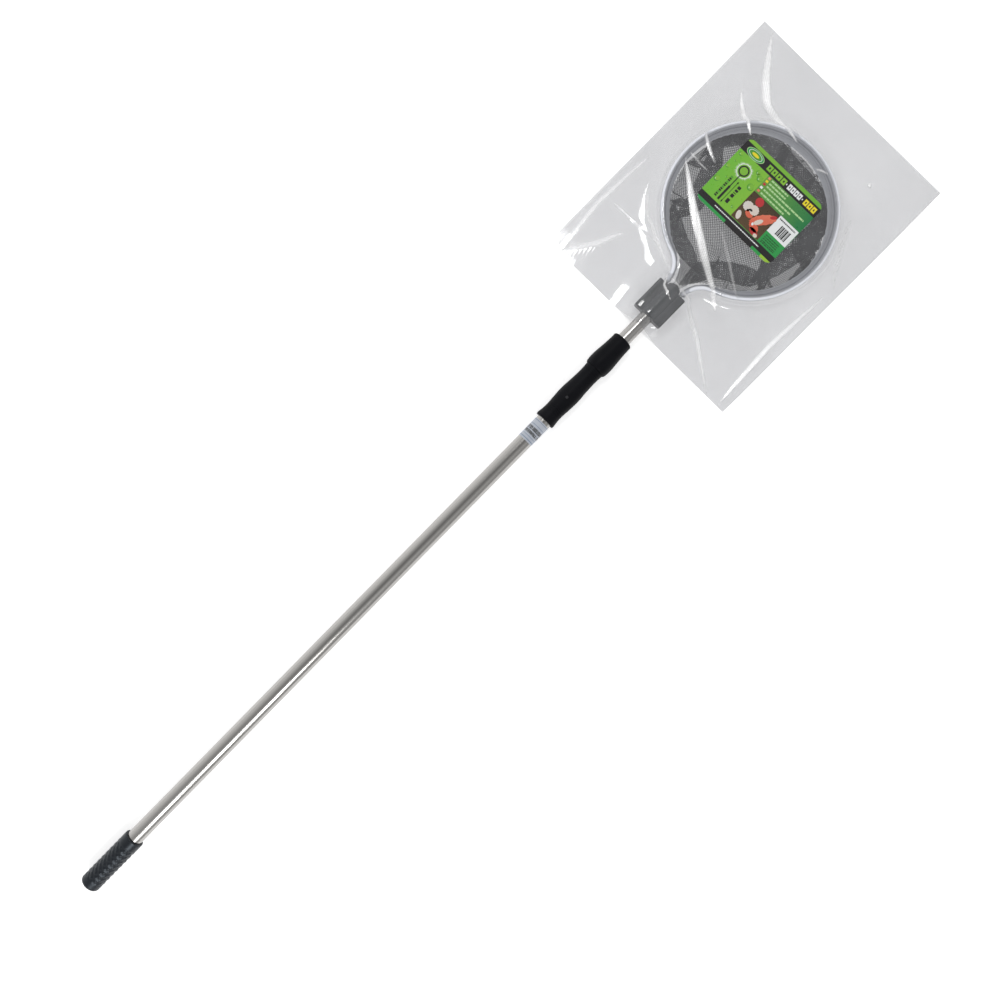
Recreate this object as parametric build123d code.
"""Pond and leaf net on a telescopic pole, lying flat and packed for sale.

Millimetres, +Z up. The pole's axis runs along +X, from the butt of the handle to the net's head.
Lengths along the pole are "stations", from GRIP_START at the butt to BAG_END. The origin is the
middle of the footprint on the surface that the net lies on.
"""
import os
from math import atan2, cos, degrees, pi, radians, sin, sqrt

from build123d import *

# ---------------------------------------------------------------- driving dimensions
AXIS_Z = 17.3              # the lock collar, the widest round part, touches the surface
RUN_CLEARANCE = 0.05       # radial clearance of parts that slide or turn in each other

TUBE_R = 11.5              # outer tube
TUBE_WALL = 0.8
TUBE_START, TUBE_END = 13.0, 985.0
INNER_R = 10.0             # inner tube
INNER_WALL = 0.8
INNER_START, INNER_END = 62.0, 1140.0

GRIP_START, GRIP_END = 8.5, 98.5           # end grip
GRIP_R = 14.4
GRIP_END_ROUND = 4.5

SLEEVE_START, SLEEVE_END = 902.6, 1001.4      # visible part of the lock sleeve
SPIGOT_END = 1034.0                           # its threaded spigot, inside the collar
SPIGOT_R = 13.0
THREAD_DEPTH = 0.8
THREAD_PITCH = 4.0
THREAD_TURNS = 5
THREAD_START = 1006.0
PIN_STATION = 945.6                           # rivet through sleeve and outer tube
PIN_R = 2.1
COLLAR_START, COLLAR_END = 1001.8, 1057.6
COLLET_START, COLLET_END = 1018.0, 1050.0
COLLET_SLOT = 1.4

YOKE_START, YOKE_END = 1103.0, 1154.0         # head socket that holds tube and hoop
YOKE_HALF_WIDTH = 23.7
YOKE_HALF_HEIGHT = 6.5
YOKE_BOSS_R = 13.0
YOKE_NOSE = 7.0                               # short nose between the legs
YOKE_NOSE_R = 10.0
LEG_Y = 14.5                                  # the hoop's legs, either side of the tube
LEG_START = 1116.0
PEG_LENGTH = 4.0                              # turned-down end of each leg
PEG_BEND = 4.0
YOKE_SCREW_R = 1.5
YOKE_SCREW_Y = 20.2
YOKE_SCREW_STATIONS = (1110.0, 1147.0)
TUBE_PIN_STATION = 1124.0                     # cross pin through the inner tube
TUBE_PIN_R = 2.0

HOOP_CENTRE = 1307.0
HOOP_R = 121.0                                # centreline of the wire
WIRE_R = 2.5
NECK_R = 38.0                                 # bend where a leg joins the round of the hoop
HEM_R = 3.3                                   # outside of the fabric sleeve round the wire
HEM_START = 1160.0
FLAP_R = 109.0                                # inner edge of the hem's flat, sewn edge
FLAP_THICK = 1.0
SEAM_LINE_R = 111.5                           # where the thread runs
SEAM_R = 0.4                                  # the thread
POCKET_RIM_R = 115.5                          # netting pocket, gathered flat inside the hoop
POCKET_FLOOR_R = 98.0
POCKET_FLOOR_Z = 1.6
POCKET_WALL = 2.0
POCKET_FLOOR_THICK = 3.0

BAG_START, BAG_END = 1086.5, 1517.0           # open mouth and far seam of the packing bag
BAG_HALF_WIDTH = 171.5
BAG_FLAT_HALF_WIDTH = 134.0
BAG_TOP_Z = 31.6                              # over the yoke
BAG_RAMP_START, BAG_RAMP_END = 1164.0, 1194.0
BAG_LOW_Z = 22.4                              # over the hoop
BAG_FLAT_END = 1440.0
BAG_SEAM_WIDTH = 1.2                          # where the front film is welded to the back
BAG_SEAM_RISE = 0.8
FILM = 0.3
CARD_START, CARD_LENGTH, CARD_WIDTH = 1268.2, 110.5, 139.0
CARD_THICK = 0.5
CARD_CORNER = 9.0

STICKER_START, STICKER_END = 864.5, 898.0
STICKER_THICK = 0.15
STICKER_GAP_DEG = 14.0

# ---------------------------------------------------------------- worked-out values
TUBE_BORE = TUBE_R - TUBE_WALL
INNER_BORE = INNER_R - INNER_WALL


def placed(shape):
    """Moves a shape from pole coordinates (station, y, height above the axis) to the part's frame."""
    return Pos(-(GRIP_START + BAG_END) / 2, 0, AXIS_Z) * shape


def turned(*edges):
    """A solid of revolution about the pole's axis, from edges drawn as (station, radius)."""
    return revolve(make_face(Curve() + list(edges)), axis=Axis.X)


def turned_outline(*points):
    return turned(Polyline(*points, close=True))


def ring(start, end, inner, outer):
    return turned_outline((start, inner), (end, inner), (end, outer), (start, outer))


def rod(start, end, radius, y=0.0, z=0.0):
    """A cylinder along the pole."""
    return Pos(start, y, z) * Rot(0, 90, 0) * Cylinder(
        radius, end - start, align=(Align.CENTER, Align.CENTER, Align.MIN)
    )


def post(station, y, bottom, top, radius):
    """A cylinder across the pole, along Z."""
    return Pos(station, y, bottom) * Cylinder(
        radius, top - bottom, align=(Align.CENTER, Align.CENTER, Align.MIN)
    )


def block(x0, x1, y0, y1, z0, z1):
    return Pos((x0 + x1) / 2, (y0 + y1) / 2, (z0 + z1) / 2) * Box(x1 - x0, y1 - y0, z1 - z0)


# ---------------------------------------------------------------- pole
def outer_tube():
    tube = ring(TUBE_START, TUBE_END, TUBE_BORE, TUBE_R)
    return tube - post(PIN_STATION, 0, 0, TUBE_R + 5, PIN_R)


def end_grip():
    """Soft sleeve with a closed, rounded end, pushed over the butt of the outer tube."""
    flat_r = GRIP_R - GRIP_END_ROUND
    corner = GRIP_END_ROUND * (1 - 1 / sqrt(2))
    lip = 0.8
    butt, shoulder = GRIP_START, GRIP_START + GRIP_END_ROUND
    return turned(
        Line((butt, 0), (butt, flat_r)),
        ThreePointArc((butt, flat_r), (butt + corner, GRIP_R - corner), (shoulder, GRIP_R)),
        Line((shoulder, GRIP_R), (GRIP_END - lip, GRIP_R)),
        Line((GRIP_END - lip, GRIP_R), (GRIP_END, GRIP_R - lip)),
        Line((GRIP_END, GRIP_R - lip), (GRIP_END, TUBE_R)),
        Line((GRIP_END, TUBE_R), (TUBE_START, TUBE_R)),
        Line((TUBE_START, TUBE_R), (TUBE_START, 0)),
        Line((TUBE_START, 0), (butt, 0)),
    )


def tube_sticker():
    """Printed film label, wrapped round the outer tube with a small gap underneath."""
    wrap = ring(STICKER_START, STICKER_END, TUBE_R, TUBE_R + STICKER_THICK)
    half_gap = (TUBE_R + 1) * sin(radians(STICKER_GAP_DEG / 2))
    return wrap - block(STICKER_START - 1, STICKER_END + 1, -half_gap, half_gap, -TUBE_R - 2, 0)


def inner_tube():
    tube = ring(INNER_START, INNER_END, INNER_BORE, INNER_R)
    return tube - post(TUBE_PIN_STATION, 0, -INNER_R - 1, INNER_R + 1, TUBE_PIN_R)


def guide_bush():
    """Plug in the lower end of the inner tube, whose ribs run in the bore of the outer tube."""
    head_start, head_end = INNER_START - 14.0, INNER_START - 0.1
    plug_end = INNER_START + 18.0
    hollow_r = 5.0
    bush = ring(head_start, head_end, hollow_r, TUBE_BORE - 0.5)
    bush += ring(head_end, plug_end, hollow_r, INNER_BORE - RUN_CLEARANCE)
    for k in range(3):
        rib = head_start + 1.5 + 4.5 * k
        bush += ring(rib, rib + 2.0, hollow_r, TUBE_BORE - RUN_CLEARANCE)
    return bush


# ---------------------------------------------------------------- twist lock
def thread_profile(valley, crest):
    """Corner points of a trapezoid thread from THREAD_START on."""
    points = []
    for k in range(THREAD_TURNS):
        start = THREAD_START + k * THREAD_PITCH
        points += [
            (start, valley),
            (start + 0.25 * THREAD_PITCH, crest),
            (start + 0.5 * THREAD_PITCH, crest),
            (start + 0.75 * THREAD_PITCH, valley),
        ]
    return points


def sleeve_contour():
    """Waisted outside of the lock sleeve, with a swell for the palm in its middle."""
    length = SLEEVE_END - SLEEVE_START
    shares = ((0.03, 15.2), (0.17, 13.8), (0.46, 15.2), (0.80, 13.6), (0.985, 14.2))
    return [(SLEEVE_START + share * length, radius) for share, radius in shares]


def lock_sleeve():
    contour = sleeve_contour()
    seat_start, seat_mouth_r = COLLET_START - 1.0, 12.45
    spigot = Polyline(
        (SLEEVE_END, contour[-1][1]),
        (SLEEVE_END, SPIGOT_R),
        *thread_profile(SPIGOT_R, SPIGOT_R + THREAD_DEPTH),
        (SPIGOT_END, SPIGOT_R),
        (SPIGOT_END, seat_mouth_r),
        (seat_start, INNER_R + 0.9),
        (seat_start, INNER_R + 0.15),
        (TUBE_END, INNER_R + 0.15),
        (TUBE_END, TUBE_R),
        (SLEEVE_START, TUBE_R),
        (SLEEVE_START, contour[0][1] - 0.5),
        contour[0],
    )
    sleeve = turned(Spline(*contour), Line(contour[-1], (SLEEVE_END, contour[-1][1])), spigot)
    groove_stations = [SLEEVE_START + 15.5 + 3.4 * k for k in range(3)]
    groove_stations += [SLEEVE_START + 80.0 + 3.6 * k for k in range(4)]
    for station in groove_stations:
        sleeve -= ring(station, station + 1.0, 13.45, 18.0)
    return sleeve - post(PIN_STATION, 0, 0, 20, PIN_R)


def sleeve_pin():
    """Rivet that ties the lock sleeve to the outer tube, its head flush in the palm swell."""
    return post(PIN_STATION, 0, TUBE_BORE + 0.05, 15.0, PIN_R)


def clamp_collet():
    """Split double cone that the collar squeezes on to the inner tube."""
    middle = SPIGOT_END + 0.5
    bore = INNER_R + RUN_CLEARANCE
    collet = turned_outline(
        (COLLET_START, bore),
        (COLLET_END, bore),
        (COLLET_END, bore + 0.75),
        (middle + 1.0, 12.3),
        (middle - 1.0, 12.3),
        (COLLET_START, bore + 0.75),
    )
    collet -= block(COLLET_START - 1, COLLET_END + 1, -COLLET_SLOT / 2, COLLET_SLOT / 2, -20, 0)
    relief = block(COLLET_START + 6, COLLET_END + 1, -COLLET_SLOT / 2, COLLET_SLOT / 2, -20, 20)
    for turn in (60, 120):
        collet -= Rot(turn, 0, 0) * relief
    return collet


def lock_collar():
    """Nut that turns on the sleeve's thread, pear shaped outside."""
    contour = [
        (COLLAR_START + 1.2, 16.3),
        (COLLAR_START + 9.0, 17.25),
        (COLLAR_START + 26.0, 16.4),
        (COLLAR_START + 42.0, 15.1),
        (COLLAR_END - 2.6, 14.8),
    ]
    gap = 0.12
    inside = Polyline(
        (COLLAR_END, 12.6),
        (COLLAR_END - 1.2, INNER_R + 0.25),
        (COLLET_END + 0.4, INNER_R + 0.25),
        (COLLET_END + 0.4, INNER_R + 1.05),
        (SPIGOT_END + 2.2, 12.75),
        (SPIGOT_END + 1.2, SPIGOT_R + gap),
        *reversed(thread_profile(SPIGOT_R + gap, SPIGOT_R + THREAD_DEPTH + gap)),
        (THREAD_START - 1.0, SPIGOT_R + gap),
        (COLLAR_START, SPIGOT_R + gap + 0.2),
        (COLLAR_START, 15.4),
    )
    return turned(
        Line((COLLAR_START, 15.4), contour[0]),
        Spline(*contour),
        ThreePointArc(contour[-1], (COLLAR_END - 0.7, 14.05), (COLLAR_END, 12.6)),
        inside,
    )


# ---------------------------------------------------------------- hoop
NECK_CENTRE_DX = sqrt((HOOP_R + NECK_R) ** 2 - (LEG_Y + NECK_R) ** 2)
NECK_STATION = HOOP_CENTRE - NECK_CENTRE_DX      # where a leg starts to bend outwards
NECK_CENTRE_Y = LEG_Y + NECK_R
NECK_ANGLE = degrees(atan2(NECK_CENTRE_Y, NECK_CENTRE_DX))
JOIN_X = HOOP_CENTRE - HOOP_R * cos(radians(NECK_ANGLE))
JOIN_Y = HOOP_R * sin(radians(NECK_ANGLE))


def neck_point(side, along):
    """Point on a neck bend, from 0 at the leg to 1 at the round of the hoop."""
    turn = radians(-90 + along * (90 - NECK_ANGLE))
    return (NECK_STATION + NECK_R * cos(turn), side * (NECK_CENTRE_Y + NECK_R * sin(turn)))


def hoop_line(start):
    """Centreline of the hoop from one leg round to the other, starting at a station on the legs."""
    edges = []
    for side in (1, -1):
        if start < NECK_STATION - 1:
            edges.append(Line((start, side * LEG_Y), (NECK_STATION, side * LEG_Y)))
        edges.append(ThreePointArc(neck_point(side, 0), neck_point(side, 0.5), (JOIN_X, side * JOIN_Y)))
    edges.append(ThreePointArc((JOIN_X, JOIN_Y), (HOOP_CENTRE + HOOP_R, 0), (JOIN_X, -JOIN_Y)))
    return Curve() + edges


def swept(line, start_point, direction, radius):
    section = Plane(origin=start_point, z_dir=direction) * Circle(radius)
    return sweep(section, path=line)


def hoop_wire():
    """Bent steel wire: the round, two necks, two legs and the turned-down ends."""
    start = LEG_START + PEG_BEND
    wire = swept(hoop_line(start), (start, LEG_Y, 0), (1, 0, 0), WIRE_R)
    for side in (1, -1):
        bend_start = (start, side * LEG_Y, 0)
        bend_end = (LEG_START, side * LEG_Y, -PEG_BEND)
        bend_middle = (
            start - PEG_BEND / sqrt(2), side * LEG_Y, -PEG_BEND * (1 - 1 / sqrt(2))
        )
        bend = ThreePointArc(bend_start, bend_middle, bend_end)
        wire += swept(bend, bend_start, (-1, 0, 0), WIRE_R)
    return wire


def net_hem():
    """Fabric sleeve round the wire, with a flat sewn edge on the inside of the round."""
    line = hoop_line(HEM_START)
    start = neck_point(1, 0)
    sleeve = swept(line, (*start, 0), (1, 0, 0), HEM_R)
    flap = Pos(HOOP_CENTRE, 0, 0) * (
        Cylinder(HOOP_R - WIRE_R - 0.3, FLAP_THICK) - Cylinder(FLAP_R, FLAP_THICK + 1)
    )
    neck_half = JOIN_Y - 2.0
    flap -= block(HOOP_CENTRE - HOOP_R, HOOP_CENTRE, -neck_half, neck_half, -2, 2)
    return sleeve + flap - swept(line, (*start, 0), (1, 0, 0), WIRE_R)


def hem_seam():
    """Sewing thread along the hem's flat edge, on its upper side."""
    half = radians(180 - NECK_ANGLE - 4)
    points = [
        (HOOP_CENTRE + SEAM_LINE_R * cos(half * k), SEAM_LINE_R * sin(half * k))
        for k in (1, 0, -1)
    ]
    thread = swept(ThreePointArc(*points), (*points[0], 0), (sin(half), -cos(half), 0), SEAM_R)
    return Pos(0, 0, FLAP_THICK / 2 + SEAM_R) * thread


def net_pocket():
    """The netting pocket, folded flat in the hoop: a shallow dish with an open top."""
    top = -0.6
    floor = POCKET_FLOOR_Z - AXIS_Z
    outline = [
        (0, floor), (POCKET_FLOOR_R, floor), (POCKET_RIM_R, top - 4), (POCKET_RIM_R, top),
        (POCKET_RIM_R - POCKET_WALL, top), (POCKET_RIM_R - POCKET_WALL, top - 4),
        (POCKET_FLOOR_R - POCKET_WALL, floor + POCKET_FLOOR_THICK), (0, floor + POCKET_FLOOR_THICK),
    ]
    face = Plane.XZ * make_face(Polyline(*outline, close=True))
    return Pos(HOOP_CENTRE, 0, 0) * revolve(face, axis=Axis.Z)


# ---------------------------------------------------------------- head socket
def yoke_solid():
    """Flat block with a round boss for the tube, longitudinal ribs and a short nose."""
    width, height = YOKE_HALF_WIDTH, YOKE_HALF_HEIGHT
    body = block(YOKE_START, YOKE_END, -width, width, -height, height)
    body = fillet(body.edges().filter_by(Axis.Z), 2.0)
    body = fillet(body.edges().group_by(Axis.Z)[-1] + body.edges().group_by(Axis.Z)[0], 1.0)
    body += rod(YOKE_START, YOKE_END, YOKE_BOSS_R)
    body += turned_outline(
        (YOKE_END - 1, 0), (YOKE_END + YOKE_NOSE, 0), (YOKE_END + YOKE_NOSE, YOKE_NOSE_R - 3.0),
        (YOKE_END + YOKE_NOSE - 3.0, YOKE_NOSE_R), (YOKE_END - 1, YOKE_NOSE_R),
    )
    rib_half, rib_rise, margin = 0.8, 0.9, 4.0
    for y in (16.4, 20.2):
        for side in (1, -1):
            body += block(
                YOKE_START + margin, YOKE_END - margin,
                side * y - rib_half, side * y + rib_half, height - 0.5, height + rib_rise,
            )
    return body


def yoke_cavity():
    """Everything that the yoke's two shells hold between them."""
    cavity = rod(YOKE_START - 1, INNER_END, INNER_R)
    for side in (1, -1):
        y = side * LEG_Y
        cavity += rod(LEG_START + PEG_BEND, YOKE_END + 1, WIRE_R, y)
        cavity += block(
            LEG_START - WIRE_R, LEG_START + PEG_BEND + 0.1, y - WIRE_R, y + WIRE_R,
            -PEG_BEND - 0.5, WIRE_R,
        )
    return cavity


def yoke_screw_places():
    return [(station, side * YOKE_SCREW_Y) for station in YOKE_SCREW_STATIONS for side in (1, -1)]


def yoke_top():
    shell = yoke_solid() - yoke_cavity()
    shell &= block(YOKE_START - 5, YOKE_END + 20, -50, 50, 0, 50)
    for station, y in yoke_screw_places():
        shell -= post(station, y, -1, 4.6, YOKE_SCREW_R)
    return shell - post(TUBE_PIN_STATION, 0, 0, 11.6, TUBE_PIN_R)


def yoke_bottom():
    shell = yoke_solid() - yoke_cavity()
    shell &= block(YOKE_START - 5, YOKE_END + 20, -50, 50, -50, 0)
    for station, y in yoke_screw_places():
        shell -= post(station, y, -8, 1, YOKE_SCREW_R + 0.2)
        shell -= post(station, y, -8, -4.4, 2.8)
    return shell - post(TUBE_PIN_STATION, 0, -20, 1, TUBE_PIN_R)


def yoke_screws():
    """Four pan-head screws, driven from below, with a cross slot in each head."""
    screws = []
    for station, y in yoke_screw_places():
        screw = post(station, y, -6.4, -4.4, 2.5) + post(station, y, -4.4, 4.5, YOKE_SCREW_R)
        for long_x, long_y in ((1.5, 0.3), (0.3, 1.5)):
            screw -= block(station - long_x, station + long_x, y - long_y, y + long_y, -6.5, -5.4)
        screws.append(screw)
    return Compound(children=screws)


def tube_pin():
    """Blind pin from below through both walls of the inner tube."""
    return post(TUBE_PIN_STATION, 0, -YOKE_BOSS_R + 0.3, 11.5, TUBE_PIN_R)


# ---------------------------------------------------------------- packing
def bag_section(station, top, inset):
    """Cross-section of the tent: feet at the side seams, and a flat top between the shoulders."""
    foot, shoulder = BAG_HALF_WIDTH - inset, BAG_FLAT_HALF_WIDTH - inset / 2
    plane = Plane(origin=(station, 0, -AXIS_Z), x_dir=(0, 1, 0), z_dir=(1, 0, 0))
    points = [(-foot, FILM), (-shoulder, top), (shoulder, top), (foot, FILM)]
    return plane * make_face(Polyline(*points, close=True))


def bag_tent(inset, drop, start, end):
    """Solid tent: high over the yoke, lower over the hoop, and down to the far seam.

    The foot of each side is moved in by inset, and the top is moved down by drop.
    """
    tops = [
        (start, BAG_TOP_Z), (BAG_RAMP_START, BAG_TOP_Z), (BAG_RAMP_END, BAG_LOW_Z),
        (BAG_FLAT_END - drop, BAG_LOW_Z), (end, FILM + BAG_SEAM_RISE),
    ]
    sections = [bag_section(station, top - drop, inset) for station, top in tops]
    tent = Part()
    for near, far in zip(sections, sections[1:]):
        tent += loft([near, far])
    return tent


def bag_front_film():
    """Upper film of the open-ended bag, tented over the net's head."""
    outside = bag_tent(0, 0, BAG_START, BAG_END)
    return outside - bag_tent(BAG_SEAM_WIDTH, FILM, BAG_START - 1, BAG_END - BAG_SEAM_WIDTH)


def bag_back_film():
    return block(
        BAG_START, BAG_END, -BAG_HALF_WIDTH, BAG_HALF_WIDTH, -AXIS_Z, FILM - AXIS_Z
    )


def label_card():
    """Printed card on the front film."""
    outline = RectangleRounded(CARD_LENGTH, CARD_WIDTH, CARD_CORNER)
    place = Pos(CARD_START + CARD_LENGTH / 2, 0, BAG_LOW_Z - AXIS_Z)
    return place * extrude(outline, CARD_THICK)


# ---------------------------------------------------------------- output
NODES = (
    outer_tube, end_grip, tube_sticker, lock_sleeve, sleeve_pin, clamp_collet, lock_collar,
    inner_tube, guide_bush, yoke_top, yoke_bottom, yoke_screws, tube_pin, hoop_wire, net_hem,
    hem_seam, net_pocket, bag_front_film, bag_back_film, label_card,
)

os.makedirs("parts", exist_ok=True)
for make in NODES:
    export_step(placed(make()), f"parts/{make.__name__}.step")
